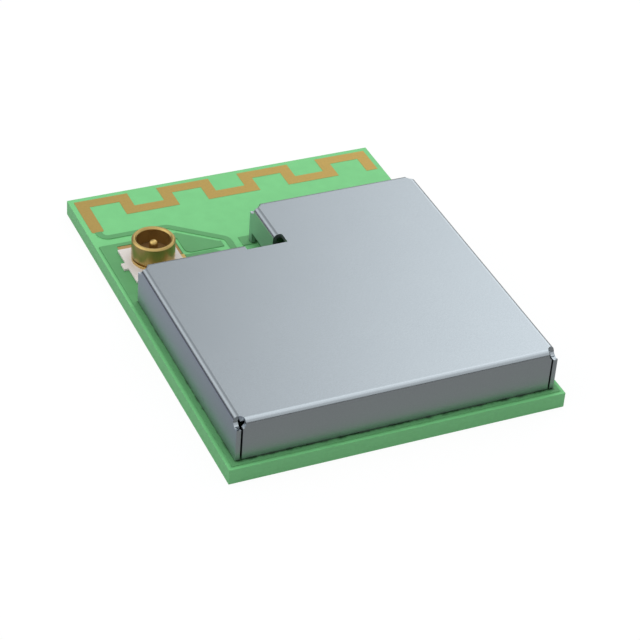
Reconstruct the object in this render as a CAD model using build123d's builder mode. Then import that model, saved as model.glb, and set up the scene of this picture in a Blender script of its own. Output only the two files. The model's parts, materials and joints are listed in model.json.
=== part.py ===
from build123d import *
import os

# Radio module: a thin circuit board with a printed meander antenna and a
# miniature coaxial receptacle at its back end, and a folded shield can over
# the radio circuit. Lengths are in millimetres. The origin lies at the centre
# of the board, level with the lower faces of the contact pads. X runs across
# the board, Y towards the antenna and Z up.

# Board layers
board_width = 15.5
board_length = 20.7
laminate_thickness = 0.69
copper_thickness = 0.035
mask_thickness = 0.025
mask_clearance = 0.05
solder_height = 0.04

# Shield can, folded from one sheet
sheet = 0.2
can_height = 1.98
bend_radius = 0.25
can_left_margin = 0.415
can_right_margin = 0.38
can_front_margin = 0.43
antenna_zone = 5.72
notch_width = 6.505
notch_depth = 2.93
corner_gap = 0.09
relief_radius = 0.29
relief_drop = 0.16
can_solder_height = 0.06

# Opening for the radio feed at the inner corner of the notch
opening_width = 1.96
opening_setback = 0.45
opening_reach = 0.41
opening_rise = 0.22
opening_corner_radius = 0.08
arch_height = 0.55
arch_foot = 0.31

# Solder joints under the can walls
joint_length = 1.3
joint_pitch = 2.3
joint_end_space = 0.6
joint_fillet = 0.14

# Meander antenna and its feed
antenna_track = 0.58
antenna_side_margin = 0.25
antenna_back_margin = 0.26
antenna_depth = 1.67
antenna_leg_count = 8
antenna_foot_length = 2.7
antenna_tail_length = 1.71
antenna_foot_radius = 0.12
feed_track = 0.25
feed_inset = 0.9
feed_line_setback = 3.5
feed_slope_start = 3.69
feed_slope_rise = 0.44
feed_bend_radius = 0.4
coax_line_spacing = 0.42
coax_line_bend = 0.2
coax_line_end = 0.1

# Ground copper
ground_margin = 0.2
ground_skirt = 0.32
ground_lip = 0.21
track_clearance = 0.25
narrow_clearance = 0.12
ground_corner_radius = 0.3
ring_width = 0.6
foot_land_depth = 0.33
tuning_gap = 0.2

# Coaxial receptacle
coax_x_from_edge = 2.14
coax_y_from_edge = 5.92
coax_height = 1.3
barrel_radius = 1.0
barrel_bore_radius = 0.785
rim_chamfer = 0.07
groove_radius = 0.84
groove_height = 0.13
flange_radius = 0.985
flange_height = 0.13
cup_floor = 0.3
bead_radius = 0.5
bead_height = 0.1
insulator_size = 2.6
insulator_thickness = 0.1
insulator_offset = 0.15
nub_width = 0.46
nub_length = 0.22
shell_foot_width = 1.2
shell_foot_depth = 0.25
shell_foot_inset = 0.08
pin_radius = 0.21
pin_below_rim = 0.13
tail_width = 0.3
tail_thickness = 0.05
tail_reach = 0.2
coax_fit = 0.01
coax_land_width = 2.68
coax_land_back = 0.42
signal_land_length = 0.5
signal_land_width = 0.32

# Radio chip, a square leadless package
chip_size = 5.0
chip_height = 0.85
chip_pitch = 0.4
chip_side_lead_count = 10
lead_width = 0.2
lead_length = 0.4
lead_height = 0.2
thermal_pad_size = 3.5
land_extension = 0.3
moulding_chamfer = 0.05
dot_radius = 0.2
dot_depth = 0.04
dot_inset = 0.6
lane = 0.8
column_gap = 0.5

# Flash memory, a leadless package with leads on two sides
flash_width = 2.0
flash_length = 3.0
flash_height = 0.6
flash_pitch = 0.65
flash_side_lead_count = 4

# Crystals, ceramic trays with metal lids
main_crystal_width = 2.0
main_crystal_length = 2.5
clock_crystal_width = 1.5
clock_crystal_length = 3.2
tray_height = 0.4
lid_height = 0.15
lid_margin = 0.12
crystal_land = 0.5

# Antenna filter, a small ceramic block with three terminals on each side
filter_length = 1.6
filter_width = 0.8
filter_height = 0.6
filter_pitch = 0.55
filter_terminal_width = 0.25
filter_terminal_depth = 0.12

# Small chip parts such as resistors and capacitors
small_length = 1.0
small_width = 0.5
small_height = 0.5
resistor_height = 0.35
small_terminal = 0.25
small_land_extension = 0.12
field_pitch = 1.5
rf_inductor_count = 3
rf_inductor_pitch = 1.1
selector_spacing = 0.8

# Power inductor
coil_length = 2.0
coil_width = 1.6
coil_height = 0.9
coil_terminal = 0.45

# Contact pads under the board
pad_length = 1.0
pad_width = 0.7
pad_pitch = 1.1
pad_edge_space = 0.3
side_pad_count = 12
front_pad_count = 10
side_pad_front = 1.8

# Levels of the layers, from the contact pads up
laminate_bottom = copper_thickness
laminate_top = laminate_bottom + laminate_thickness
copper_top = laminate_top + copper_thickness
mask_top = laminate_top + mask_thickness
ridge_height = copper_thickness + mask_thickness
can_bottom = copper_top + can_solder_height
can_top = can_bottom + can_height
part_level = copper_top + solder_height
plate_top = part_level + insulator_thickness
barrel_bottom = plate_top + flange_height + groove_height
coax_top = mask_top + coax_height

# Edges of the board
board_left = -board_width / 2
board_right = board_width / 2
board_front = -board_length / 2
board_back = board_length / 2

# Outer planes of the can walls
can_left = board_left + can_left_margin
can_right = board_right - can_right_margin
can_front = board_front + can_front_margin
can_back = board_back - antenna_zone
notch_x = can_left + notch_width
notch_y = can_back - notch_depth

# Opening at the inner corner of the notch
opening_right = notch_x + opening_reach
opening_left = opening_right - opening_width
opening_front = notch_y - opening_setback
opening_back = notch_y + opening_rise

# Receptacle and radio feed lines
coax_x = board_left + coax_x_from_edge
coax_y = board_back - coax_y_from_edge
signal_y = coax_y - insulator_offset
signal_x = coax_x + insulator_size / 2
foot_reach = barrel_radius - shell_foot_inset - shell_foot_depth / 2
feed_x = notch_x - feed_inset
feed_y = board_back - feed_line_setback
coax_line_x = feed_x - coax_line_spacing
slope_start = (board_left + feed_slope_start, feed_y)
slope_end = (feed_x, can_back + feed_slope_rise)

# Window in the ground copper for the circuit under the can
window_left = can_left + ring_width
window_right = can_right - ring_width
window_front = can_front + ring_width
window_back = can_back - ring_width
step_y = notch_y - ring_width

# Rows of parts from the radio chip back to the notch, spread evenly in the window
small_half = small_length / 2 + small_land_extension
filter_half = filter_width / 2 + small_land_extension
lead_room = land_extension + narrow_clearance
filter_gap = lead_room + filter_half
selector_gap = filter_gap + filter_half + narrow_clearance + small_half
circuit_depth = lead_room + chip_size + selector_gap + small_half
chip_front = (window_front + step_y - circuit_depth) / 2 + lead_room
chip_y = chip_front + chip_size / 2
chip_back = chip_front + chip_size
filter_y = chip_back + filter_gap
selector_y = chip_back + selector_gap
line_end_y = selector_y + small_half
rf_inductor_y = chip_back + lead_room + small_half

# Columns of parts on both sides of the radio chip
chip_x = (window_left + window_right) / 2
left_column = chip_x - chip_size / 2 - lane
right_column = chip_x + chip_size / 2 + lane
coil_x = left_column - coil_width / 2
coil_y = window_front + narrow_clearance + small_land_extension + coil_length / 2
flash_x = left_column - flash_width / 2
flash_y = coil_y + small_land_extension + coil_length / 2 + column_gap + flash_length / 2
clock_crystal_x = right_column + clock_crystal_width / 2
clock_crystal_y = window_front + narrow_clearance + clock_crystal_length / 2
main_crystal_x = right_column + main_crystal_width / 2
main_crystal_y = clock_crystal_y + clock_crystal_length / 2 + column_gap + main_crystal_length / 2

# Field of small parts beside the notch, as many as fit
field_left = opening_right + ring_width / 2
field_front = rf_inductor_y + small_half + narrow_clearance
field_column_count = int((window_right - field_left) / field_pitch)
field_row_count = int((window_back - field_front) / field_pitch)

os.makedirs("parts", exist_ok=True)


def rectangle_between(x_low, y_low, x_high, y_high, mode=Mode.ADD):
    """Rectangle given by its two corners, in the current sketch."""
    with Locations(((x_low + x_high) / 2, (y_low + y_high) / 2)):
        Rectangle(x_high - x_low, y_high - y_low, mode=mode)


def rectangles(places, width, length):
    """A rectangle at each (x, y, turn), width across and length along it."""
    with Locations(*[Location((x, y, 0), (0, 0, turn)) for x, y, turn in places]):
        Rectangle(width, length)


def side_places(x, y, reach, count, pitch, turns):
    """Evenly spaced places along the sides of a package centred on x, y."""
    places = []
    for turn in turns:
        for index in range(count):
            along = (index - (count - 1) / 2) * pitch
            spot = Vector(along, reach).rotate(Axis.Z, turn)
            places.append((x + spot.X, y + spot.Y, turn))
    return places


def end_places(parts, reach):
    """Places at both ends of each (x, y, turn) part, reach from its centre."""
    places = []
    for x, y, turn in parts:
        places += side_places(x, y, reach, 1, 0, (turn, turn + 180))
    return places


# Parts with two terminals, each as x, y and turn
field_rows = [
    [
        (
            (field_left + window_right + (2 * column + 1 - field_column_count) * field_pitch) / 2,
            (field_front + window_back + (2 * row + 1 - field_row_count) * field_pitch) / 2,
            90,
        )
        for column in range(field_column_count)
    ]
    for row in range(field_row_count)
]
resistors = field_rows[0]
selectors = [(feed_x, selector_y, 0), (feed_x - selector_spacing, selector_y, 0)]
capacitors = sum(field_rows[1:], selectors)
rf_inductors = [
    (feed_x + (index + 1) * rf_inductor_pitch, rf_inductor_y, 0)
    for index in range(rf_inductor_count)
]
power_inductor = [(coil_x, coil_y, 0)]
small_reach = (small_length - small_terminal) / 2
coil_reach = (coil_length - coil_terminal) / 2
filter_x = feed_x - selector_spacing / 2


def lead_places(extension=0):
    """Leads of the radio chip and the flash memory, or their lands."""
    outward = extension / 2 - lead_length / 2
    chip_leads = side_places(
        chip_x, chip_y, chip_size / 2 + outward, chip_side_lead_count, chip_pitch, (0, 90, 180, 270)
    )
    flash_leads = side_places(
        flash_x, flash_y, flash_width / 2 + outward, flash_side_lead_count, flash_pitch, (90, 270)
    )
    return chip_leads, flash_leads


def filter_places(extension=0):
    """Terminals of the antenna filter, or their lands."""
    reach = (filter_width - filter_terminal_depth + extension) / 2
    return side_places(filter_x, filter_y, reach, 3, filter_pitch, (0, 180))


def crystal_places():
    """Solder lands under the ends of both crystals."""
    main_reach = (main_crystal_length - crystal_land) / 2
    clock_reach = (clock_crystal_length - crystal_land) / 2
    main_spread = main_crystal_width - crystal_land
    clock_spread = clock_crystal_width - crystal_land
    main = side_places(main_crystal_x, main_crystal_y, main_reach, 2, main_spread, (0, 180))
    clock = side_places(clock_crystal_x, clock_crystal_y, clock_reach, 2, clock_spread, (0, 180))
    return main + clock


def joint_layout():
    """Solder joints along each can wall, as x, y of the joint's centre and turn."""
    half_sheet = sheet / 2
    walls = [
        ((can_left, notch_y), (can_left, can_front), 90),
        ((can_left, can_front), (can_right, can_front), 180),
        ((can_right, can_front), (can_right, can_back), 270),
        ((can_right, can_back), (notch_x, can_back), 0),
        ((opening_left, notch_y), (can_left, notch_y), 0),
    ]
    joints = []
    for start, end, turn in walls:
        start = Vector(*start)
        end = Vector(*end)
        span = (end - start).length
        middle = (start + end) * 0.5
        run = (end - start).normalized()
        inward = Vector(0, -half_sheet).rotate(Axis.Z, turn)
        count = int((span - 2 * joint_end_space - joint_length) / joint_pitch) + 1
        for index in range(count):
            along = (index - (count - 1) / 2) * joint_pitch
            spot = middle + run * along + inward
            joints.append((spot.X, spot.Y, turn))
    return joints


def board_outline():
    """Outline of the board."""
    rectangle_between(board_left, board_front, board_right, board_back)


def can_outline():
    """Outer outline of the can, an L with the notch at its back left."""
    with BuildLine() as outline:
        Polyline(
            (can_left, can_front),
            (can_right, can_front),
            (can_right, can_back),
            (notch_x, can_back),
            (notch_x, notch_y),
            (can_left, notch_y),
            close=True,
        )
    make_face(outline.edges())


def antenna_outline():
    """Meander of evenly spaced legs joined in turn at the back and the front."""
    half_track = antenna_track / 2
    first_leg = board_left + antenna_side_margin + half_track
    last_leg = board_right - antenna_side_margin - half_track
    leg_pitch = (last_leg - first_leg) / (antenna_leg_count - 1)
    back = board_back - antenna_back_margin
    for index in range(antenna_leg_count):
        x = first_leg + index * leg_pitch
        reach = antenna_depth
        if index == 0:
            reach = antenna_foot_length
        if index == antenna_leg_count - 1:
            reach = antenna_tail_length
        rectangle_between(x - half_track, back - reach, x + half_track, back)
        if index < antenna_leg_count - 1:
            run_back = back if index % 2 == 0 else back - antenna_depth + antenna_track
            rectangle_between(x, run_back - antenna_track, x + leg_pitch, run_back)


def feed_outline(width=feed_track):
    """Track from the foot of the antenna into the can, through its opening."""
    foot_x = board_left + antenna_side_margin + antenna_track / 2
    foot_y = board_back - antenna_back_margin - antenna_foot_length
    with BuildLine() as route:
        FilletPolyline(
            (foot_x, foot_y),
            (foot_x, feed_y),
            slope_start,
            slope_end,
            (feed_x, line_end_y),
            radius=feed_bend_radius,
        )
    trace(route.line, line_width=width)


def coax_line_outline(width=feed_track, mode=Mode.ADD):
    """Track from the receptacle's signal land into the can beside the feed."""
    end_x = feed_x - selector_spacing
    with BuildLine() as route:
        FilletPolyline(
            (signal_x + signal_land_length / 2, signal_y),
            (coax_line_x - track_clearance * 2, signal_y),
            (coax_line_x, signal_y - track_clearance * 2),
            (coax_line_x, line_end_y + coax_line_end + coax_line_x - end_x),
            (end_x, line_end_y + coax_line_end),
            (end_x, line_end_y),
            radius=coax_line_bend,
        )
    trace(route.line, line_width=width, mode=mode)


def signal_land():
    """Land under the tail of the receptacle's centre contact."""
    with Locations((signal_x, signal_y)):
        Rectangle(signal_land_length, signal_land_width)


def coax_ground_lands():
    """Bare ground copper behind and before the receptacle's centre contact."""
    half_width = coax_land_width / 2
    middle = coax_x + half_width - insulator_size / 2 + nub_length / 2
    land_back = signal_y + insulator_size / 2 + coax_land_back
    land_front = signal_y - insulator_size / 2 - coax_land_back
    inner = signal_land_width / 2 + narrow_clearance
    rectangle_between(middle - half_width, signal_y + inner, middle + half_width, land_back)
    rectangle_between(middle - half_width, land_front, middle + half_width, signal_y - inner)


def ground_outline():
    """Ground copper round the can's edge and under the receptacle."""
    left = board_left + ground_margin
    front = board_front + ground_margin
    right = board_right - ground_margin
    back = can_back + ground_skirt
    pour_back = signal_y + insulator_size / 2 + coax_land_back + ground_lip
    keep_off = feed_track / 2 + track_clearance
    channel_left = feed_x - keep_off
    channel_right = notch_x - keep_off
    coax_line_left = coax_line_x - feed_track / 2 - narrow_clearance
    signal_back = signal_y + signal_land_width / 2 + narrow_clearance
    signal_front = signal_y - signal_land_width / 2 - narrow_clearance
    land_right = coax_x - insulator_size / 2 + nub_length / 2 + coax_land_width
    steepness = (slope_start[1] - slope_end[1]) / (slope_end[0] - slope_start[0])
    edge_start = slope_start[1] - keep_off * (1 + steepness**2) ** 0.5
    crest_x = slope_start[0] + (edge_start - pour_back) / steepness
    toe_y = edge_start - steepness * (channel_left - slope_start[0])
    rectangle_between(left, front, right, back)
    with BuildLine() as outline:
        Polyline(
            (left, front),
            (left, pour_back),
            (crest_x, pour_back),
            (channel_left, toe_y),
            (channel_left, front),
            close=True,
        )
    make_face(outline.edges())
    # The strip behind the receptacle's pour and the channel of the feed stay bare
    rectangle_between(channel_left, opening_front, channel_right, back, mode=Mode.SUBTRACT)
    inner_right = notch_x + sheet + narrow_clearance
    foot_front = can_back - foot_land_depth
    rectangle_between(channel_right, opening_front, inner_right, foot_front, mode=Mode.SUBTRACT)
    rectangle_between(coax_line_left, opening_front, channel_left, signal_back, mode=Mode.SUBTRACT)
    # Clearance round the receptacle's signal land and its track
    centre_clear = coax_x - pin_radius - track_clearance
    rectangle_between(centre_clear, signal_front, channel_left, signal_back, mode=Mode.SUBTRACT)
    gap_back = pour_back - ground_lip * 2
    gap_right = land_right + tuning_gap
    rectangle_between(land_right, signal_front, gap_right, gap_back, mode=Mode.SUBTRACT)
    round_x = gap_right + ground_corner_radius
    round_y = signal_back + ground_corner_radius
    rectangle_between(gap_right, signal_back, round_x, round_y, mode=Mode.SUBTRACT)
    with Locations((round_x, round_y)):
        Circle(ground_corner_radius)
    # Window for the radio circuit under the can
    rectangle_between(window_left, window_front, window_right, step_y, mode=Mode.SUBTRACT)
    rectangle_between(field_left, window_front, window_right, window_back, mode=Mode.SUBTRACT)
    rectangle_between(coax_line_left, step_y, inner_right, opening_front, mode=Mode.SUBTRACT)
    coax_line_outline(feed_track + 2 * narrow_clearance, mode=Mode.SUBTRACT)


def joint_outlines():
    """Bare copper under each solder joint of the can."""
    places = []
    for x, y, turn in joint_layout():
        inward = Vector(0, -joint_fillet / 2).rotate(Axis.Z, turn)
        places.append((x + inward.X, y + inward.Y, turn))
    rectangles(places, joint_length, sheet + joint_fillet)


def lead_lands():
    """Copper lands under the leads of both chips."""
    chip_leads, flash_leads = lead_places(land_extension)
    rectangles(chip_leads + flash_leads, lead_width, lead_length + land_extension)


def lead_openings(extra):
    """One mask opening for each row of leads, extra wider all round than its lands."""
    outward = (land_extension - lead_length) / 2
    chip_rows = side_places(chip_x, chip_y, chip_size / 2 + outward, 1, 0, (0, 90, 180, 270))
    flash_rows = side_places(flash_x, flash_y, flash_width / 2 + outward, 1, 0, (90, 270))
    chip_run = (chip_side_lead_count - 1) * chip_pitch + lead_width
    flash_run = (flash_side_lead_count - 1) * flash_pitch + lead_width
    depth = lead_length + land_extension + 2 * extra
    rectangles(chip_rows, chip_run + 2 * extra, depth)
    rectangles(flash_rows, flash_run + 2 * extra, depth)


def land_outlines(extra=0):
    """Copper lands of the other parts under the can, grown by extra all round."""
    with Locations((chip_x, chip_y)):
        Rectangle(thermal_pad_size + 2 * extra, thermal_pad_size + 2 * extra)
    rectangles(crystal_places(), crystal_land + 2 * extra, crystal_land + 2 * extra)
    small_parts = capacitors + resistors + rf_inductors
    small_places = end_places(small_parts, small_reach + small_land_extension / 2)
    small_land = small_terminal + small_land_extension + 2 * extra
    rectangles(small_places, small_width + 2 * extra, small_land)
    coil_places = end_places(power_inductor, coil_reach + small_land_extension / 2)
    coil_land = coil_terminal + small_land_extension + 2 * extra
    rectangles(coil_places, coil_width + 2 * extra, coil_land)
    filter_land = filter_terminal_depth + small_land_extension + 2 * extra
    rectangles(filter_places(small_land_extension), filter_terminal_width + 2 * extra, filter_land)


def contact_places():
    """Contact pads along the sides and the front of the board's underside."""
    inset = pad_edge_space + pad_length / 2
    side_y = board_front + side_pad_front + (side_pad_count - 1) / 2 * pad_pitch
    side = side_places(0, side_y, board_width / 2 - inset, side_pad_count, pad_pitch, (90, 270))
    return side + side_places(0, 0, board_length / 2 - inset, front_pad_count, pad_pitch, (180,))


def contact_outlines(extra=0):
    """Outlines of the contact pads, grown by extra all round."""
    rectangles(contact_places(), pad_width + 2 * extra, pad_length + 2 * extra)


# Glass-fibre laminate of the board
with BuildPart() as board_laminate:
    with BuildSketch(Plane.XY.offset(laminate_bottom)):
        board_outline()
    extrude(amount=laminate_thickness)
board_laminate.part.label = "board_laminate"
export_step(board_laminate.part, "parts/board_laminate.step")

# Contact pads under the board, by which it is soldered to its host
with BuildPart() as contact_pads:
    with BuildSketch():
        contact_outlines()
    extrude(amount=copper_thickness)
contact_pads.part.label = "contact_pads"
export_step(contact_pads.part, "parts/contact_pads.step")

# Lower solder mask, open round each contact pad
with BuildPart() as lower_solder_mask:
    with BuildSketch(Plane.XY.offset(laminate_bottom - mask_thickness)):
        board_outline()
    extrude(amount=mask_thickness)
    with BuildSketch(Plane.XY.offset(laminate_bottom - mask_thickness)):
        contact_outlines(mask_clearance)
    extrude(amount=mask_thickness, mode=Mode.SUBTRACT)
lower_solder_mask.part.label = "lower_solder_mask"
export_step(lower_solder_mask.part, "parts/lower_solder_mask.step")

# Ground copper on the upper face
with BuildPart() as ground_copper:
    with BuildSketch(Plane.XY.offset(laminate_top)):
        ground_outline()
    extrude(amount=copper_thickness)
ground_copper.part.label = "ground_copper"
export_step(ground_copper.part, "parts/ground_copper.step")

# Meander antenna, left bare by the mask
with BuildPart() as meander_antenna:
    with BuildSketch(Plane.XY.offset(laminate_top)) as antenna_sketch:
        antenna_outline()
        foot_corners = antenna_sketch.vertices().sort_by(Axis.Y)[:2]
        fillet(foot_corners, antenna_foot_radius)
    extrude(amount=copper_thickness)
meander_antenna.part.label = "meander_antenna"
export_step(meander_antenna.part, "parts/meander_antenna.step")

# Feed track between the antenna and the circuit
with BuildPart() as antenna_feed:
    with BuildSketch(Plane.XY.offset(laminate_top)):
        feed_outline()
    extrude(amount=copper_thickness)
antenna_feed.part.label = "antenna_feed"
export_step(antenna_feed.part, "parts/antenna_feed.step")

# Signal land and track of the receptacle
with BuildPart() as coax_line:
    with BuildSketch(Plane.XY.offset(laminate_top)):
        signal_land()
        coax_line_outline()
    extrude(amount=copper_thickness)
coax_line.part.label = "coax_line"
export_step(coax_line.part, "parts/coax_line.step")

# Lands of the parts under the can
with BuildPart() as component_lands:
    with BuildSketch(Plane.XY.offset(laminate_top)):
        lead_lands()
        land_outlines()
    extrude(amount=copper_thickness)
component_lands.part.label = "component_lands"
export_step(component_lands.part, "parts/component_lands.step")

# Upper solder mask, raised where it covers copper and open over bare lands
with BuildPart() as upper_solder_mask:
    with BuildSketch(Plane.XY.offset(laminate_top)):
        board_outline()
    extrude(amount=mask_thickness)
    with BuildSketch(Plane.XY.offset(laminate_top)):
        ground_outline()
        offset(amount=mask_thickness, kind=Kind.INTERSECTION)
        feed_outline(feed_track + 2 * mask_thickness)
        coax_line_outline(feed_track + 2 * mask_thickness)
    extrude(amount=ridge_height)
    with BuildSketch(Plane.XY.offset(laminate_top)):
        ground_outline()
        feed_outline()
        coax_line_outline()
    extrude(amount=copper_thickness, mode=Mode.SUBTRACT)
    with BuildSketch(Plane.XY.offset(laminate_top)) as bare_sketch:
        antenna_outline()
        fillet(bare_sketch.vertices().sort_by(Axis.Y)[:2], antenna_foot_radius)
        signal_land()
        coax_ground_lands()
        joint_outlines()
        lead_openings(mask_clearance)
        land_outlines(mask_clearance)
    extrude(amount=ridge_height, mode=Mode.SUBTRACT)
upper_solder_mask.part.label = "upper_solder_mask"
export_step(upper_solder_mask.part, "parts/upper_solder_mask.step")


def relieve_corner(x, y, x_in, y_in):
    """Round relief hole at a corner and the gap between the two walls below it."""
    centre_x = x + x_in * bend_radius / 2
    centre_y = y + y_in * bend_radius / 2
    centre_z = can_top - relief_drop
    with BuildSketch(Plane.XY.offset(centre_z)) as plate_hole:
        with Locations((centre_x, centre_y)):
            Circle(relief_radius)
    extrude(plate_hole.sketch, amount=relief_drop, mode=Mode.SUBTRACT)
    with BuildSketch(Plane.YZ.offset(x)) as side_hole:
        with Locations((centre_y, centre_z)):
            Circle(relief_radius)
    extrude(side_hole.sketch, amount=x_in * bend_radius, mode=Mode.SUBTRACT)
    with BuildSketch(Plane.XZ.offset(-y)) as end_hole:
        with Locations((centre_x, centre_z)):
            Circle(relief_radius)
    extrude(end_hole.sketch, amount=-y_in * bend_radius, mode=Mode.SUBTRACT)
    with BuildSketch(Plane.XY.offset(can_bottom)) as gap:
        with Locations((x + x_in * (sheet + corner_gap / 2), y + y_in * sheet / 2)):
            Rectangle(corner_gap, sheet)
    extrude(gap.sketch, amount=centre_z - can_bottom, mode=Mode.SUBTRACT)


# Shield can, one sheet folded down all round, with a relief hole at each corner
with BuildPart() as shield_can:
    with BuildSketch(Plane.XY.offset(can_bottom)):
        can_outline()
    extrude(amount=can_height)
    fillet(shield_can.faces().sort_by(Axis.Z)[-1].edges(), bend_radius)
    with BuildSketch(Plane.XY.offset(can_bottom)):
        can_outline()
        offset(amount=-sheet, kind=Kind.INTERSECTION, mode=Mode.REPLACE)
    extrude(amount=can_height - sheet, mode=Mode.SUBTRACT)
    inner_edges = shield_can.faces().filter_by(Axis.Z).sort_by(Axis.Z)[-2].edges()
    fillet(inner_edges, bend_radius - sheet)
    relieve_corner(can_left, can_front, 1, 1)
    relieve_corner(can_right, can_front, -1, 1)
    relieve_corner(can_right, can_back, -1, -1)
    relieve_corner(notch_x, can_back, 1, -1)
    relieve_corner(can_left, notch_y, 1, -1)
    # Opening for the radio feed, cut through the plate and the notch walls
    with BuildSketch(Plane.XY.offset(can_bottom)) as opening_sketch:
        rectangle_between(opening_left, opening_front, opening_right, opening_back)
        fillet(opening_sketch.vertices().sort_by(Axis.Y)[-2:].sort_by(Axis.X)[-1], opening_corner_radius)
    extrude(amount=can_height, mode=Mode.SUBTRACT)
    # Raised lower edge of the notch wall between its two feet
    with BuildSketch(Plane.YZ.offset(notch_x)):
        rectangle_between(
            opening_back + arch_foot, can_bottom, can_back - arch_foot, can_bottom + arch_height
        )
    extrude(amount=sheet, mode=Mode.SUBTRACT)
shield_can.part.label = "shield_can"
export_step(shield_can.part, "parts/shield_can.step")

# Solder joints under the can walls, each with a fillet on the inner side
with BuildPart() as can_solder:
    for x, y, turn in joint_layout():
        run = Vector(1, 0).rotate(Axis.Z, turn)
        inward = Vector(0, -1).rotate(Axis.Z, turn)
        start = Vector(x, y, copper_top) + run * (joint_length / 2) - inward * (sheet / 2)
        with BuildSketch(Plane(origin=start, x_dir=inward, z_dir=run * -1)):
            with BuildLine():
                Polyline(
                    (0, 0),
                    (sheet + joint_fillet, 0),
                    (sheet, can_solder_height + joint_fillet),
                    (sheet, can_solder_height),
                    (0, can_solder_height),
                    close=True,
                )
            make_face()
        extrude(amount=joint_length)
can_solder.part.label = "can_solder"
export_step(can_solder.part, "parts/can_solder.step")

# Insulating plate of the receptacle
with BuildPart() as coax_insulator:
    with BuildSketch(Plane.XY.offset(part_level)):
        with Locations((coax_x, signal_y)):
            Rectangle(insulator_size, insulator_size)
        with Locations((coax_x - insulator_size / 2, signal_y)):
            Rectangle(2 * nub_length, nub_width)
    extrude(amount=insulator_thickness)
    with BuildSketch(Plane.XY.offset(part_level)):
        with Locations((coax_x, coax_y)):
            Circle(pin_radius + coax_fit)
        with Locations((coax_x, coax_y + foot_reach), (coax_x, coax_y - foot_reach)):
            Rectangle(shell_foot_width + 2 * coax_fit, shell_foot_depth + 2 * coax_fit)
    extrude(amount=insulator_thickness, mode=Mode.SUBTRACT)
    with BuildSketch(Plane.XY.offset(part_level)):
        rectangle_between(
            coax_x,
            signal_y - tail_width / 2 - coax_fit,
            signal_x,
            signal_y + tail_width / 2 + coax_fit,
        )
    extrude(amount=tail_thickness + coax_fit, mode=Mode.SUBTRACT)
coax_insulator.part.label = "coax_insulator"
export_step(coax_insulator.part, "parts/coax_insulator.step")

# Outer contact of the receptacle, a turned cup on two feet
with BuildPart() as coax_shell:
    with BuildSketch(Plane(origin=(coax_x, coax_y, 0), x_dir=(1, 0, 0), z_dir=(0, -1, 0))):
        with BuildLine():
            Polyline(
                (bead_radius + coax_fit, plate_top),
                (flange_radius, plate_top),
                (flange_radius, plate_top + flange_height),
                (groove_radius, plate_top + flange_height),
                (groove_radius, barrel_bottom),
                (barrel_radius, barrel_bottom),
                (barrel_radius, coax_top),
                (barrel_bore_radius, coax_top),
                (barrel_bore_radius, plate_top + cup_floor),
                (bead_radius + coax_fit, plate_top + cup_floor),
                close=True,
            )
        make_face()
    revolve(axis=Axis((coax_x, coax_y, 0), (0, 0, 1)))
    rim = coax_shell.faces().filter_by(Axis.Z).sort_by(Axis.Z)[-1]
    chamfer(rim.edges(), rim_chamfer)
    with BuildSketch(Plane.XY.offset(part_level)):
        with Locations((coax_x, coax_y + foot_reach), (coax_x, coax_y - foot_reach)):
            Rectangle(shell_foot_width, shell_foot_depth)
    extrude(amount=insulator_thickness)
coax_shell.part.label = "coax_shell"
export_step(coax_shell.part, "parts/coax_shell.step")

# Insulating bead that holds the centre contact in the cup
with BuildPart() as coax_bead:
    with BuildSketch(Plane.XY.offset(plate_top)):
        with Locations((coax_x, coax_y)):
            Circle(bead_radius)
    extrude(amount=cup_floor)
    with BuildSketch(Plane.XY.offset(plate_top + cup_floor)):
        with Locations((coax_x, coax_y)):
            Circle(barrel_bore_radius - coax_fit)
    extrude(amount=bead_height)
    with BuildSketch(Plane.XY.offset(plate_top)):
        with Locations((coax_x, coax_y)):
            Circle(pin_radius + coax_fit)
    extrude(amount=cup_floor + bead_height, mode=Mode.SUBTRACT)
coax_bead.part.label = "coax_bead"
export_step(coax_bead.part, "parts/coax_bead.step")

# Centre contact of the receptacle, a round pin with a flat tail
with BuildPart() as coax_centre_contact:
    with BuildSketch(Plane.XY.offset(part_level)):
        with Locations((coax_x, coax_y)):
            Circle(pin_radius)
    extrude(amount=coax_top - pin_below_rim - part_level)
    pin_tip = coax_centre_contact.faces().sort_by(Axis.Z)[-1]
    fillet(pin_tip.edges(), pin_radius * 0.9)
    with BuildSketch(Plane.XY.offset(part_level)):
        rectangle_between(
            coax_x, signal_y - tail_width / 2, signal_x + tail_reach, signal_y + tail_width / 2
        )
    extrude(amount=tail_thickness)
coax_centre_contact.part.label = "coax_centre_contact"
export_step(coax_centre_contact.part, "parts/coax_centre_contact.step")

# Solder under the receptacle's feet and tail
with BuildPart() as coax_solder:
    with BuildSketch(Plane.XY.offset(copper_top)):
        with Locations((coax_x, coax_y + foot_reach), (coax_x, coax_y - foot_reach)):
            Rectangle(shell_foot_width, shell_foot_depth)
        with Locations((signal_x + (tail_reach - signal_land_length / 2) / 2, signal_y)):
            Rectangle(tail_reach + signal_land_length / 2, tail_width)
    extrude(amount=solder_height)
coax_solder.part.label = "coax_solder"
export_step(coax_solder.part, "parts/coax_solder.step")


def moulded_body(x, y, width, length, height):
    """Moulded package with chamfered top edges and a dot near its first lead."""
    with BuildSketch(Plane.XY.offset(part_level)) as footprint:
        with Locations((x, y)):
            Rectangle(width, length)
    extrude(footprint.sketch, amount=height - moulding_chamfer)
    with BuildSketch(Plane.XY.offset(part_level + height - moulding_chamfer)) as crown:
        with Locations((x, y)):
            Rectangle(width, length)
    extrude(crown.sketch, amount=moulding_chamfer, taper=45)
    with BuildSketch(Plane.XY.offset(part_level + height)) as dot:
        with Locations((x - width / 2 + dot_inset, y + length / 2 - dot_inset)):
            Circle(dot_radius)
    extrude(dot.sketch, amount=-dot_depth, mode=Mode.SUBTRACT)


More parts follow.
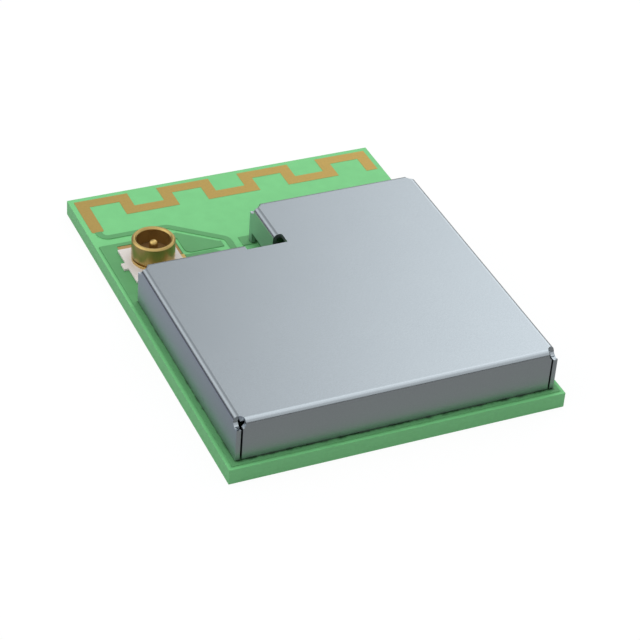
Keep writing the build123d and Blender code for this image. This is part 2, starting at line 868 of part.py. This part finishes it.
# Moulded body of the radio chip
with BuildPart() as radio_chip_body:
    moulded_body(chip_x, chip_y, chip_size, chip_size, chip_height)
    with BuildSketch(Plane.XY.offset(part_level)):
        rectangles(lead_places()[0], lead_width, lead_length)
        with Locations((chip_x, chip_y)):
            Rectangle(thermal_pad_size, thermal_pad_size)
    extrude(amount=lead_height, mode=Mode.SUBTRACT)
radio_chip_body.part.label = "radio_chip_body"
export_step(radio_chip_body.part, "parts/radio_chip_body.step")

# Leads of the radio chip, let into the edges of its underside
with BuildPart() as radio_chip_leads:
    with BuildSketch(Plane.XY.offset(part_level)):
        rectangles(lead_places()[0], lead_width, lead_length)
    extrude(amount=lead_height)
radio_chip_leads.part.label = "radio_chip_leads"
export_step(radio_chip_leads.part, "parts/radio_chip_leads.step")

# Thermal pad of the radio chip
with BuildPart() as radio_chip_pad:
    with BuildSketch(Plane.XY.offset(part_level)):
        with Locations((chip_x, chip_y)):
            Rectangle(thermal_pad_size, thermal_pad_size)
    extrude(amount=lead_height)
radio_chip_pad.part.label = "radio_chip_pad"
export_step(radio_chip_pad.part, "parts/radio_chip_pad.step")

# Moulded body of the flash memory
with BuildPart() as flash_chip_body:
    moulded_body(flash_x, flash_y, flash_width, flash_length, flash_height)
    with BuildSketch(Plane.XY.offset(part_level)):
        rectangles(lead_places()[1], lead_width, lead_length)
    extrude(amount=lead_height, mode=Mode.SUBTRACT)
flash_chip_body.part.label = "flash_chip_body"
export_step(flash_chip_body.part, "parts/flash_chip_body.step")

# Leads of the flash memory
with BuildPart() as flash_chip_leads:
    with BuildSketch(Plane.XY.offset(part_level)):
        rectangles(lead_places()[1], lead_width, lead_length)
    extrude(amount=lead_height)
flash_chip_leads.part.label = "flash_chip_leads"
export_step(flash_chip_leads.part, "parts/flash_chip_leads.step")

# Ceramic trays of the crystals and their lids
crystals = [
    ("main_crystal", main_crystal_x, main_crystal_y, main_crystal_width, main_crystal_length),
    ("clock_crystal", clock_crystal_x, clock_crystal_y, clock_crystal_width, clock_crystal_length),
]
for name, x, y, width, length in crystals:
    with BuildPart() as tray:
        with BuildSketch(Plane.XY.offset(part_level)):
            with Locations((x, y)):
                Rectangle(width, length)
        extrude(amount=tray_height)
    tray.part.label = name + "_tray"
    export_step(tray.part, "parts/" + name + "_tray.step")
    with BuildPart() as lid:
        with BuildSketch(Plane.XY.offset(part_level + tray_height)):
            with Locations((x, y)):
                RectangleRounded(width - 2 * lid_margin, length - 2 * lid_margin, lid_margin)
        extrude(amount=lid_height)
    lid.part.label = name + "_lid"
    export_step(lid.part, "parts/" + name + "_lid.step")

# Ceramic block of the antenna filter
with BuildPart() as antenna_filter_body:
    with BuildSketch(Plane.XY.offset(part_level)):
        with Locations((filter_x, filter_y)):
            Rectangle(filter_length, filter_width)
    extrude(amount=filter_height)
    with BuildSketch(Plane.XY.offset(part_level)):
        rectangles(filter_places(), filter_terminal_width, filter_terminal_depth)
    extrude(amount=filter_height, mode=Mode.SUBTRACT)
antenna_filter_body.part.label = "antenna_filter_body"
export_step(antenna_filter_body.part, "parts/antenna_filter_body.step")

# Terminals of the antenna filter
with BuildPart() as antenna_filter_terminals:
    with BuildSketch(Plane.XY.offset(part_level)):
        rectangles(filter_places(), filter_terminal_width, filter_terminal_depth)
    extrude(amount=filter_height)
antenna_filter_terminals.part.label = "antenna_filter_terminals"
export_step(antenna_filter_terminals.part, "parts/antenna_filter_terminals.step")

# Parts with two terminals, bodies and terminals by kind
two_terminal_parts = [
    ("capacitor", capacitors, small_width, small_length, small_height, small_terminal),
    ("resistor", resistors, small_width, small_length, resistor_height, small_terminal),
    ("rf_inductor", rf_inductors, small_width, small_length, small_height, small_terminal),
    ("power_inductor", power_inductor, coil_width, coil_length, coil_height, coil_terminal),
]
for name, places, width, length, height, terminal in two_terminal_parts:
    with BuildPart() as bodies:
        with BuildSketch(Plane.XY.offset(part_level)):
            rectangles(places, width, length - 2 * terminal)
        extrude(amount=height)
    bodies.part.label = name + "_bodies"
    export_step(bodies.part, "parts/" + name + "_bodies.step")
    with BuildPart() as terminals:
        with BuildSketch(Plane.XY.offset(part_level)):
            rectangles(end_places(places, (length - terminal) / 2), width, terminal)
        extrude(amount=height)
    terminals.part.label = name + "_terminals"
    export_step(terminals.part, "parts/" + name + "_terminals.step")

# Solder between the lands and the parts under the can
with BuildPart() as component_solder:
    with BuildSketch(Plane.XY.offset(copper_top)):
        rectangles(lead_places()[0] + lead_places()[1], lead_width, lead_length)
        with Locations((chip_x, chip_y)):
            Rectangle(thermal_pad_size, thermal_pad_size)
        rectangles(crystal_places(), crystal_land, crystal_land)
        small_parts = capacitors + resistors + rf_inductors
        rectangles(end_places(small_parts, small_reach), small_width, small_terminal)
        rectangles(end_places(power_inductor, coil_reach), coil_width, coil_terminal)
        rectangles(filter_places(), filter_terminal_width, filter_terminal_depth)
    extrude(amount=solder_height)
component_solder.part.label = "component_solder"
export_step(component_solder.part, "parts/component_solder.step")
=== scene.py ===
import json
import math

import bpy
from mathutils import Matrix, Vector


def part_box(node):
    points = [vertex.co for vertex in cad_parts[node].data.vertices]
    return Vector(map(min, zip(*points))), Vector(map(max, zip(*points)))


MM = 0.001

# Camera solved from the edges of the board and of the can in the photograph
CAMERA_PLACE = Vector((-35.023, -72.738, 58.664)) * MM
VIEW_DIRECTION = Vector((0.35662, 0.72231, -0.59252)).normalized()
CAMERA_ROLL = math.radians(4.54)
CAMERA_LENS = 124.24
CAMERA_SENSOR = 36.0
CAMERA_NEAR = 1 * MM
CAMERA_FAR = 10.0

# Noise: usual spread of its values, detail, how much finer a second one is, and depth of its relief
NOISE_SPAN = (0.3, 0.7)
NOISE_DETAIL = 3.0
MOTTLE_RATIO = 3
GRAIN_DEPTH = 0.01 * MM
BEVEL_SAMPLES = 6

# Mask: screen tones over laminate and over copper, and the heights in millimetres that part them
MASK_TONES = ((121, 199, 130), (96, 160, 103))
MASK_HEIGHTS = (0.755, 0.78)

# Distances from the board's outline between which its margin beside the copper pour darkens
MARGIN_SPAN = (0.06, 0.21)

# Y of the pour's back edge on the left and on the right, and the X between which it changes over
POUR_BACKS = (6.2, 4.95)
POUR_STEP = (-1.0, 1.0)

# Painted shadow on the mask at the foot of the can: an uneven dark line and a soft shade, in
# millimetres and levels
LINE_WIDTH = 0.13
LINE_WANDER = 0.05
LINE_CELLS = 2.5
LINE_NOISE_SPAN = (0.35, 0.65)
LINE_SIDE_INSET = 0.08
LINE_LEVEL = 0.2
SHADE_WIDTH = 0.3
SHADE_LEVEL = 0.82

# The can leaves the board open left of this X and behind this Y, and no painted shadow is laid there
NOTCH_X = -0.83
NOTCH_Y = 1.7

# Laminate: screen tones, and how its noise is squeezed into layers
LAMINATE_TONES = ((107, 175, 115), (115, 183, 123))
LAMINATE_LAYERS = (0.4, 0.4, 6.0)

# Can: linear tones, roughness on walls and on the top, and painted shade gathered in corners and slits
CAN_TONES = ((0.455, 0.495, 0.527), (0.475, 0.515, 0.545))
CAN_ROUGHNESS = (0.41, 0.24)
CAN_UPWARD_SPAN = (0.05, 0.35)
CORNER_REACH = 0.2 * MM
CORNER_SAMPLES = 8
CORNER_SPAN = (0.3, 0.75)
CORNER_LEVEL = 0.6

# Gold: linear tones, and painted light and shade as levels in the cup, on the barrel, on faces that
# look up and on the flange
GOLD_TONES = ((0.55, 0.385, 0.135), (0.51, 0.35, 0.12))
GOLD_CUP_LEVEL = 1.05
GOLD_BARREL_LEVEL = 0.83
GOLD_UPWARD_LEVEL = 1.15
GOLD_FLANGE_LEVEL = 1.35
GOLD_UPWARD_SPAN = (0.2, 0.8)

# Radius of the receptacle's cup, top of its flange, and the step over which a level changes there
CUP_RADIUS = 0.785
FLANGE_TOP = 1.05
LEVEL_STEP = 0.02

# Bare copper: screen tones at the antenna's left and right ends, and their X in millimetres
BARE_TONES = ((177, 148, 79), (192, 159, 84))
ANTENNA_ENDS = (-7.0, 7.0)

# Screen tones of the copper foil and of the receptacle's plate and bead; the bead's dark brown is
# painted shade for the dim cup
FOIL_TONES = ((186, 150, 98), (176, 138, 84))
INSULATOR_TONES = ((228, 220, 214), (220, 212, 206))
BEAD_TONES = ((122, 92, 54), (110, 82, 48))

# Plain metals and mouldings by slot, each with two linear tones and a roughness
METALS = {
    "solder": ((0.42, 0.43, 0.44), (0.36, 0.37, 0.38), 0.3),
    "tinned_terminal": ((0.5, 0.5, 0.51), (0.44, 0.44, 0.45), 0.35),
    "crystal_lid": ((0.5, 0.48, 0.42), (0.45, 0.43, 0.38), 0.35),
}
MOULDINGS = {
    "black_moulding": ((0.02, 0.02, 0.022), (0.028, 0.028, 0.03), 0.55),
    "ceramic_tray": ((0.26, 0.22, 0.18), (0.22, 0.18, 0.15), 0.6),
    "filter_ceramic": ((0.68, 0.7, 0.66), (0.62, 0.64, 0.6), 0.55),
    "capacitor_ceramic": ((0.32, 0.2, 0.11), (0.28, 0.17, 0.09), 0.5),
    "resistor_coat": ((0.012, 0.012, 0.014), (0.02, 0.02, 0.022), 0.35),
    "ferrite": ((0.05, 0.05, 0.055), (0.07, 0.07, 0.075), 0.6),
}

# Light of the studio's dome by the sine of its height, and all round by azimuth in degrees
DOME_LEVELS = [(0.0, 0.06), (0.12, 0.12), (0.32, 0.95), (0.52, 1.0), (0.64, 0.96), (1.0, 1.0)]
ROUND_LEVELS = [
    (-180, 0.8),
    (-120, 1.05),
    (-90, 1.8),
    (-62, 1.6),
    (-42, 1.05),
    (-24, 1.0),
    (-12, 0.55),
    (8, 0.42),
    (20, 0.54),
    (33, 1.46),
    (50, 1.85),
    (75, 1.1),
    (110, 0.75),
    (180, 0.8),
]
STUDIO_TINT = (0.97, 1.0, 1.02, 1)

# Towards the zenith, the light all round passes into one level
ZENITH_SPAN = (0.72, 0.95)
ZENITH_LEVEL = 1.25

# Floor: its side in metres, its drop below the module, its paint, and what the camera sees of it
FLOOR_SIDE = 4.0
FLOOR_DROP = 0.002 * MM
FLOOR_PAINT = (0.8, 0.8, 0.8, 1)
FLOOR_WHITE = 1.02
FLOOR_WHITE_SHARE = 0.92

# Floor in reflections: spans in millimetres and their levels by axis, and tints on the left and right
FLOOR_FALLS = {"X": ((-16, -10), (0.25, 1.0)), "Y": ((-14, 10), (0.325, 0.54))}
FLOOR_TINTS = ((1.0, 1.04, 1.23, 1), (1.0, 1.0, 0.98, 1))
FLOOR_TINT_SPAN = (-9.0, -7.5)

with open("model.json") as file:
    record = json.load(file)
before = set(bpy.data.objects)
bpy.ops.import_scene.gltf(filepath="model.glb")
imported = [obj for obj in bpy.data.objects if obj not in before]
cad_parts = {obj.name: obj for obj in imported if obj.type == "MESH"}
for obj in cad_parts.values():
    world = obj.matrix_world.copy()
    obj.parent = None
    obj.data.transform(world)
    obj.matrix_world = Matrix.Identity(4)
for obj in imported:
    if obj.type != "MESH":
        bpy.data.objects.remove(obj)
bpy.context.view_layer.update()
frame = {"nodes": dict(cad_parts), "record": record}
nodes = frame["nodes"]


def linear(tones):
    """Linear tones with full alpha."""
    return [(*tone, 1.0) for tone in tones]


def from_screen(tones):
    """Linear tones with full alpha, for tones in screen values from 0 to 255."""
    converted = []
    for tone in tones:
        shares = [value / 255 for value in tone]
        converted.append([s / 12.92 if s <= 0.04045 else ((s + 0.055) / 1.055) ** 2.4 for s in shares])
    return linear(converted)


class NodeTree:
    """Short ways to add nodes to a tree, where a value is a socket or a constant."""

    def __init__(self, tree):
        self.tree = tree

    def add(self, kind, **settings):
        """New node with the given settings."""
        node = self.tree.nodes.new(kind)
        for name, value in settings.items():
            setattr(node, name, value)
        return node

    def feed(self, entry, value):
        """Links an input to a socket, or sets it to a constant."""
        if isinstance(value, bpy.types.NodeSocket):
            self.tree.links.new(value, entry)
        else:
            entry.default_value = value

    def arithmetic(self, operation, *values):
        """Result of an operation on one or two values."""
        node = self.add("ShaderNodeMath", operation=operation)
        for entry, value in zip(node.inputs, values):
            self.feed(entry, value)
        return node.outputs[0]

    def vector(self, operation, *values):
        """Result of an operation on one or two vectors."""
        node = self.add("ShaderNodeVectorMath", operation=operation)
        for entry, value in zip(node.inputs, values):
            self.feed(entry, value)
        return node.outputs["Value" if operation == "LENGTH" else "Vector"]

    def scaled(self, vector, factor):
        """A vector or a colour multiplied by a factor."""
        node = self.add("ShaderNodeVectorMath", operation="SCALE")
        self.feed(node.inputs[0], vector)
        self.feed(node.inputs["Scale"], factor)
        return node.outputs["Vector"]

    def split(self, vector):
        """Parts of a vector, named X, Y and Z."""
        node = self.add("ShaderNodeSeparateXYZ")
        self.feed(node.inputs[0], vector)
        return node.outputs

    def spread(self, value, span, new_span, interpolation="LINEAR"):
        """Value carried from one span to another, and held at its ends."""
        node = self.add("ShaderNodeMapRange", interpolation_type=interpolation)
        ends = ("From Min", "From Max", "To Min", "To Max")
        for name, end in zip(ends, (*span, *new_span)):
            node.inputs[name].default_value = end
        self.feed(node.inputs["Value"], value)
        return node.outputs["Result"]

    def blend(self, factor, tones):
        """Colour between two tones; inputs 6 and 7 and output 2 are the node's colours."""
        node = self.add("ShaderNodeMix", data_type="RGBA")
        self.feed(node.inputs[0], factor)
        for entry, tone in zip(node.inputs[6:], tones):
            entry.default_value = tone
        return node.outputs[2]

    def between(self, factor, *values):
        """Value between two values; inputs 2 and 3 and output 0 are the node's numbers."""
        node = self.add("ShaderNodeMix")
        self.feed(node.inputs[0], factor)
        for entry, value in zip(node.inputs[2:], values):
            self.feed(entry, value)
        return node.outputs[0]

    def either(self, factor, first, second):
        """Mix of two shaders."""
        node = self.add("ShaderNodeMixShader")
        for entry, value in zip(node.inputs, (factor, first, second)):
            self.feed(entry, value)
        return node.outputs[0]

    def level_ramp(self, place, stops):
        """Level read from stops, each a place from 0 to 1 and a level."""
        peak = max(level for stop, level in stops)
        ramp = self.add("ShaderNodeValToRGB")
        while len(ramp.color_ramp.elements) < len(stops):
            ramp.color_ramp.elements.new(0.5)
        for element, (stop, level) in zip(ramp.color_ramp.elements, stops):
            element.position = stop
            element.color = (level / peak, level / peak, level / peak, 1)
        self.feed(ramp.inputs[0], place)
        return self.arithmetic("MULTIPLY", ramp.outputs["Color"], peak)


class Shading(NodeTree):
    """A material with one Principled shader."""

    def __init__(self, name, metallic=0.0, roughness=0.5, specular=0.5):
        self.material = bpy.data.materials.new(name)
        self.material.use_nodes = True
        super().__init__(self.material.node_tree)
        self.tree.nodes.clear()
        output = self.add("ShaderNodeOutputMaterial")
        self.shader = self.add("ShaderNodeBsdfPrincipled")
        self.feed(output.inputs["Surface"], self.shader.outputs["BSDF"])
        self.shader.inputs["Metallic"].default_value = metallic
        self.shader.inputs["Roughness"].default_value = roughness
        self.shader.inputs["Specular IOR Level"].default_value = specular
        coordinates = self.add("ShaderNodeTexCoord")
        self.millimetres = self.scaled(coordinates.outputs["Object"], 1 / MM)

    def noise(self, cells, stretch=(1, 1, 1)):
        """Noise with about so many cells to a millimetre."""
        mapping = self.add("ShaderNodeMapping")
        mapping.inputs["Scale"].default_value = stretch
        self.feed(mapping.inputs["Vector"], self.millimetres)
        noise = self.add("ShaderNodeTexNoise")
        noise.inputs["Scale"].default_value = cells
        noise.inputs["Detail"].default_value = NOISE_DETAIL
        self.feed(noise.inputs["Vector"], mapping.outputs["Vector"])
        return noise.outputs["Fac"]

    def wander(self, cells, contrast):
        """Factor that wanders about one."""
        return self.spread(self.noise(cells), NOISE_SPAN, (1 - contrast, 1 + contrast))

    def upward(self):
        """How far the surface looks up: 1 on a level top and 0 on a wall."""
        facing = self.add("ShaderNodeNewGeometry")
        return self.split(facing.outputs["Normal"])["Z"]

    def painted_corner_shade(self):
        """Painted shade: a factor that falls in corners and narrow slits."""
        occlusion = self.add("ShaderNodeAmbientOcclusion", samples=CORNER_SAMPLES)
        occlusion.inputs["Distance"].default_value = CORNER_REACH
        return self.spread(occlusion.outputs["AO"], CORNER_SPAN, (CORNER_LEVEL, 1.0))

    def colour(self, value):
        """Colour of the surface."""
        self.feed(self.shader.inputs["Base Color"], value)

    def mottle(self, tones, cells=6.0, contrast=0.06):
        """Colour that wanders slightly between two tones."""
        mixed = self.blend(self.noise(cells), tones)
        self.colour(self.scaled(mixed, self.wander(cells * MOTTLE_RATIO, contrast)))

    def grain(self, cells, strength, bevel_mm=0.0):
        """Fine relief on the surface, over edges rounded by bevel_mm."""
        bump = self.add("ShaderNodeBump")
        bump.inputs["Strength"].default_value = strength
        bump.inputs["Distance"].default_value = GRAIN_DEPTH
        self.feed(bump.inputs["Height"], self.noise(cells))
        if bevel_mm:
            bevel = self.add("ShaderNodeBevel", samples=BEVEL_SAMPLES)
            bevel.inputs["Radius"].default_value = bevel_mm * MM
            self.feed(bump.inputs["Normal"], bevel.outputs["Normal"])
        self.feed(self.shader.inputs["Normal"], bump.outputs["Normal"])


def outward(look, place, low, high):
    """Distance in millimetres out of an upright box, negative inside it."""
    middle = (low + high) / 2 / MM
    half = (high - low) / 2 / MM
    gaps = []
    for axis, centre, reach in (("X", middle.x, half.x), ("Y", middle.y, half.y)):
        aside = look.arithmetic("ABSOLUTE", look.arithmetic("SUBTRACT", place[axis], centre))
        gaps.append(look.arithmetic("SUBTRACT", aside, reach))
    return look.arithmetic("MAXIMUM", *gaps)


def margin_cover(look, place):
    """How far the board's bare margin darkens towards the copper pour, 0 to 1."""
    inside = look.arithmetic("MULTIPLY", outward(look, place, *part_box("board_laminate")), -1.0)
    fade = look.spread(inside, MARGIN_SPAN, (0.0, 1.0))
    in_margin = look.arithmetic("LESS_THAN", inside, MARGIN_SPAN[1])
    pour_back = look.spread(place["X"], POUR_STEP, POUR_BACKS)
    beside_pour = look.arithmetic("LESS_THAN", place["Y"], pour_back)
    return look.arithmetic("MULTIPLY", fade, look.arithmetic("MULTIPLY", in_margin, beside_pour))


def painted_contact_shade(look, place):
    """Factor for the painted shadow at the foot of the can's walls: an uneven dark line and a soft
    shade.
    """
    low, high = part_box("shield_can")
    inset = Vector((LINE_SIDE_INSET * MM, 0, 0))
    gap = look.arithmetic("ABSOLUTE", outward(look, place, low, high))
    line_gap = look.arithmetic("ABSOLUTE", outward(look, place, low + inset, high - inset))
    uneven = look.spread(look.noise(LINE_CELLS), LINE_NOISE_SPAN, (-LINE_WANDER, LINE_WANDER))
    ragged = look.arithmetic("ADD", line_gap, uneven)
    line = look.spread(ragged, (0.0, LINE_WIDTH), (LINE_LEVEL, 1.0))
    soft = look.spread(gap, (0.0, SHADE_WIDTH), (SHADE_LEVEL, 1.0))
    left = look.arithmetic("LESS_THAN", place["X"], NOTCH_X)
    behind = look.arithmetic("GREATER_THAN", place["Y"], NOTCH_Y)
    open_corner = look.arithmetic("MULTIPLY", left, behind)
    return look.arithmetic("MAXIMUM", look.arithmetic("MULTIPLY", line, soft), open_corner)


def solder_mask():
    """Green mask, darker where it lies over copper, with painted shadow at the foot of the can."""
    look = Shading("solder_mask", roughness=0.4, specular=0.2)
    place = look.split(look.millimetres)
    over_copper = look.spread(place["Z"], MASK_HEIGHTS, (0.0, 1.0))
    covered = look.arithmetic("MAXIMUM", over_copper, margin_cover(look, place))
    green = look.blend(covered, from_screen(MASK_TONES))
    mottled = look.scaled(green, look.wander(cells=1.5, contrast=0.03))
    look.colour(look.scaled(mottled, painted_contact_shade(look, place)))
    look.grain(cells=5.0, strength=0.08, bevel_mm=0.03)
    return look.material


def laminate():
    """Green glass-fibre laminate with faint layers along its sawn edges."""
    look = Shading("laminate", roughness=0.55, specular=0.3)
    layers = look.noise(cells=3.0, stretch=LAMINATE_LAYERS)
    green = look.blend(layers, from_screen(LAMINATE_TONES))
    look.colour(look.scaled(green, look.wander(cells=6.0, contrast=0.03)))
    look.grain(cells=8.0, strength=0.1)
    return look.material


def can_metal():
    """Tinned steel sheet with a fine grain, duller on its upright walls, with painted shade in its
    corners and slits.
    """
    look = Shading("can_metal", metallic=1.0)
    steel = look.blend(look.noise(cells=0.4), linear(CAN_TONES))
    grained = look.scaled(steel, look.wander(cells=14.0, contrast=0.03))
    look.colour(look.scaled(grained, look.painted_corner_shade()))
    rough = look.spread(look.upward(), CAN_UPWARD_SPAN, CAN_ROUGHNESS)
    look.feed(look.shader.inputs["Roughness"], rough)
    look.grain(cells=16.0, strength=0.05, bevel_mm=0.015)
    return look.material


def gold_painted_shading(look):
    """Painted light and shade for the gold: a factor by radius on upright faces, raised on level ones
    and on the flange.
    """
    low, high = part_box("coax_shell")
    offset = look.vector("SUBTRACT", look.millimetres, (low + high) / 2 / MM)
    radius = look.vector("LENGTH", look.vector("MULTIPLY", offset, (1, 1, 0)))
    cup_edge = (CUP_RADIUS, CUP_RADIUS + LEVEL_STEP)
    upright = look.spread(radius, cup_edge, (GOLD_CUP_LEVEL, GOLD_BARREL_LEVEL))
    level = look.spread(look.upward(), GOLD_UPWARD_SPAN, (0.0, GOLD_UPWARD_LEVEL))
    height = look.split(look.millimetres)["Z"]
    flange = look.spread(height, (FLANGE_TOP, FLANGE_TOP + LEVEL_STEP), (GOLD_FLANGE_LEVEL, 0.0))
    return look.arithmetic("MAXIMUM", upright, look.arithmetic("MAXIMUM", level, flange))


def gold_plating():
    """Gold plating of the receptacle, with painted light that makes it brightest on its rim and on its
    flange.
    """
    look = Shading("gold_contact", metallic=0.9, roughness=0.29)
    gold = look.blend(look.noise(cells=6.0), linear(GOLD_TONES))
    look.colour(look.scaled(gold, gold_painted_shading(look)))
    look.grain(cells=10.0, strength=0.04, bevel_mm=0.03)
    return look.material


def bare_copper():
    """Bare copper of the antenna, pads and lands, slightly brighter towards the right."""
    look = Shading("bare_copper", metallic=0.3, roughness=0.5, specular=0.3)
    across = look.spread(look.split(look.millimetres)["X"], ANTENNA_ENDS, (0.0, 1.0))
    copper = look.blend(across, from_screen(BARE_TONES))
    look.colour(look.scaled(copper, look.wander(cells=9.0, contrast=0.04)))
    look.grain(cells=12.0, strength=0.08)
    return look.material


def copper_foil():
    """Copper foil of the ground pour and of the antenna's feed, matt."""
    look = Shading("copper_foil", metallic=0.4, roughness=0.5, specular=0.3)
    look.mottle(from_screen(FOIL_TONES), cells=3.0, contrast=0.04)
    look.grain(cells=12.0, strength=0.08)
    return look.material


def metal(name, tones, roughness):
    """Plain metal with slightly wandering colour."""
    look = Shading(name, metallic=1.0, roughness=roughness)
    look.mottle(tones)
    look.grain(cells=10.0, strength=0.04)
    return look.material


def moulding(name, tones, roughness, contrast=0.05, bevel_mm=0.0):
    """Moulded or fired piece with a fine grain."""
    look = Shading(name, roughness=roughness, specular=0.4)
    look.mottle(tones, contrast=contrast)
    look.grain(cells=12.0, strength=0.1, bevel_mm=bevel_mm)
    return look.material


def white_insulator():
    """White moulded plate of the receptacle, with softened edges."""
    tones = from_screen(INSULATOR_TONES)
    return moulding("white_insulator", tones, roughness=0.45, contrast=0.02, bevel_mm=0.02)


def dark_bead():
    """Brown bead round the pin, at the floor of the receptacle's cup; its dark brown is painted shade
    for the dim cup.
    """
    return moulding("dark_bead", from_screen(BEAD_TONES), roughness=0.5)


def dress():
    """Gives every node the material of its slot."""
    by_slot = {
        "laminate": laminate(),
        "solder_mask": solder_mask(),
        "bare_copper": bare_copper(),
        "copper": copper_foil(),
        "can_metal": can_metal(),
        "gold_contact": gold_plating(),
        "white_insulator": white_insulator(),
        "dark_bead": dark_bead(),
    }
    for slot, (first, second, roughness) in METALS.items():
        by_slot[slot] = metal(slot, linear((first, second)), roughness)
    for slot, (first, second, roughness) in MOULDINGS.items():
        by_slot[slot] = moulding(slot, linear((first, second)), roughness)
    for entry in frame["record"]["subparts"]:
        piece = nodes[entry["node"]]
        piece.data.materials.clear()
        piece.data.materials.append(by_slot[entry["material_slot"]])


def add_camera():
    """Camera at the photograph's place, turned slightly about its own line of sight."""
    level = VIEW_DIRECTION.cross(Vector((0, 0, 1))).normalized()
    above = level.cross(VIEW_DIRECTION).normalized()
    right = level * math.cos(CAMERA_ROLL) + above * math.sin(CAMERA_ROLL)
    up = above * math.cos(CAMERA_ROLL) - level * math.sin(CAMERA_ROLL)
    turn = Matrix((right, up, -VIEW_DIRECTION)).transposed().to_4x4()
    data = bpy.data.cameras.new("camera")
    data.lens = CAMERA_LENS
    data.sensor_width = CAMERA_SENSOR
    data.clip_start = CAMERA_NEAR
    data.clip_end = CAMERA_FAR
    camera = bpy.data.objects.new("camera", data)
    bpy.context.scene.collection.objects.link(camera)
    camera.matrix_world = Matrix.Translation(CAMERA_PLACE) @ turn
    bpy.context.scene.camera = camera


def direction(azimuth, elevation):
    """Unit vector to a place on the studio's dome; azimuth runs from +Y towards +X, in degrees."""
    turn = math.radians(azimuth)
    rise = math.radians(elevation)
    return Vector((math.cos(rise) * math.sin(turn), math.cos(rise) * math.cos(turn), math.sin(rise)))


def softbox(name, azimuth, elevation, distance_mm, side_mm, radiance):
    """Square lamp facing the module, seen by matt surfaces only."""
    towards = direction(azimuth, elevation)
    side = side_mm * MM
    data = bpy.data.lights.new(name, "AREA")
    data.shape = "SQUARE"
    data.size = side
    data.energy = math.pi * side**2 * radiance
    lamp = bpy.data.objects.new(name, data)
    lamp.location = towards * distance_mm * MM
    lamp.rotation_euler = towards.to_track_quat("Z", "Y").to_euler()
    lamp.visible_glossy = False
    bpy.context.scene.collection.objects.link(lamp)


def add_world():
    """Studio light from all round, brighter from the left and from the back right."""
    world = bpy.data.worlds.new("studio")
    world.use_nodes = True
    bpy.context.scene.world = world
    sky = NodeTree(world.node_tree)
    background = sky.tree.nodes["Background"]
    towards = sky.split(sky.add("ShaderNodeTexCoord").outputs["Generated"])
    by_height = sky.level_ramp(towards["Z"], DOME_LEVELS)
    azimuth = sky.arithmetic("ARCTAN2", towards["X"], towards["Y"])
    turn = sky.spread(azimuth, (-math.pi, math.pi), (0.0, 1.0))
    by_turn = sky.level_ramp(turn, [((angle + 180) / 360, level) for angle, level in ROUND_LEVELS])
    overhead = sky.spread(towards["Z"], ZENITH_SPAN, (0.0, 1.0), "SMOOTHSTEP")
    all_round = sky.between(overhead, by_turn, ZENITH_LEVEL)
    sky.feed(background.inputs["Strength"], sky.arithmetic("MULTIPLY", by_height, all_round))
    background.inputs["Color"].default_value = STUDIO_TINT


def floor_reflection(look):
    """Light of the floor in reflections: it falls off along both axes and is bluer on the left."""
    place = look.split(look.add("ShaderNodeTexCoord").outputs["Object"])
    falls = []
    for axis, ((near, far), levels) in FLOOR_FALLS.items():
        falls.append(look.spread(place[axis], (near * MM, far * MM), levels))
    left, right = FLOOR_TINT_SPAN
    aside = look.spread(place["X"], (left * MM, right * MM), (0.0, 1.0))
    grey = look.add("ShaderNodeEmission")
    look.feed(grey.inputs["Color"], look.blend(aside, FLOOR_TINTS))
    look.feed(grey.inputs["Strength"], look.arithmetic("MULTIPLY", *falls))
    return grey.outputs[0]


def floor_material():
    """White with the module's soft shadow to the camera, and graded in reflections."""
    material = bpy.data.materials.new("floor")
    material.use_nodes = True
    look = NodeTree(material.node_tree)
    look.tree.nodes.clear()
    output = look.add("ShaderNodeOutputMaterial")
    diffuse = look.add("ShaderNodeBsdfDiffuse")
    diffuse.inputs["Color"].default_value = FLOOR_PAINT
    white = look.add("ShaderNodeEmission")
    white.inputs["Strength"].default_value = FLOOR_WHITE
    rays = look.add("ShaderNodeLightPath").outputs
    seen = look.arithmetic("MULTIPLY", rays["Is Camera Ray"], FLOOR_WHITE_SHARE)
    plain = look.either(seen, diffuse.outputs[0], white.outputs[0])
    graded = look.either(rays["Is Glossy Ray"], plain, floor_reflection(look))
    look.feed(output.inputs["Surface"], graded)
    return material


def add_floor():
    """Pale floor just below the module."""
    bpy.ops.mesh.primitive_plane_add(size=FLOOR_SIDE, location=(0, 0, -FLOOR_DROP))
    floor = bpy.context.object
    floor.name = "floor"
    floor.data.materials.append(floor_material())


dress()
add_camera()
add_world()
softbox("key_light", azimuth=40, elevation=60, distance_mm=90, side_mm=60, radiance=0.5)
add_floor()
bpy.context.scene.view_settings.view_transform = "Standard"
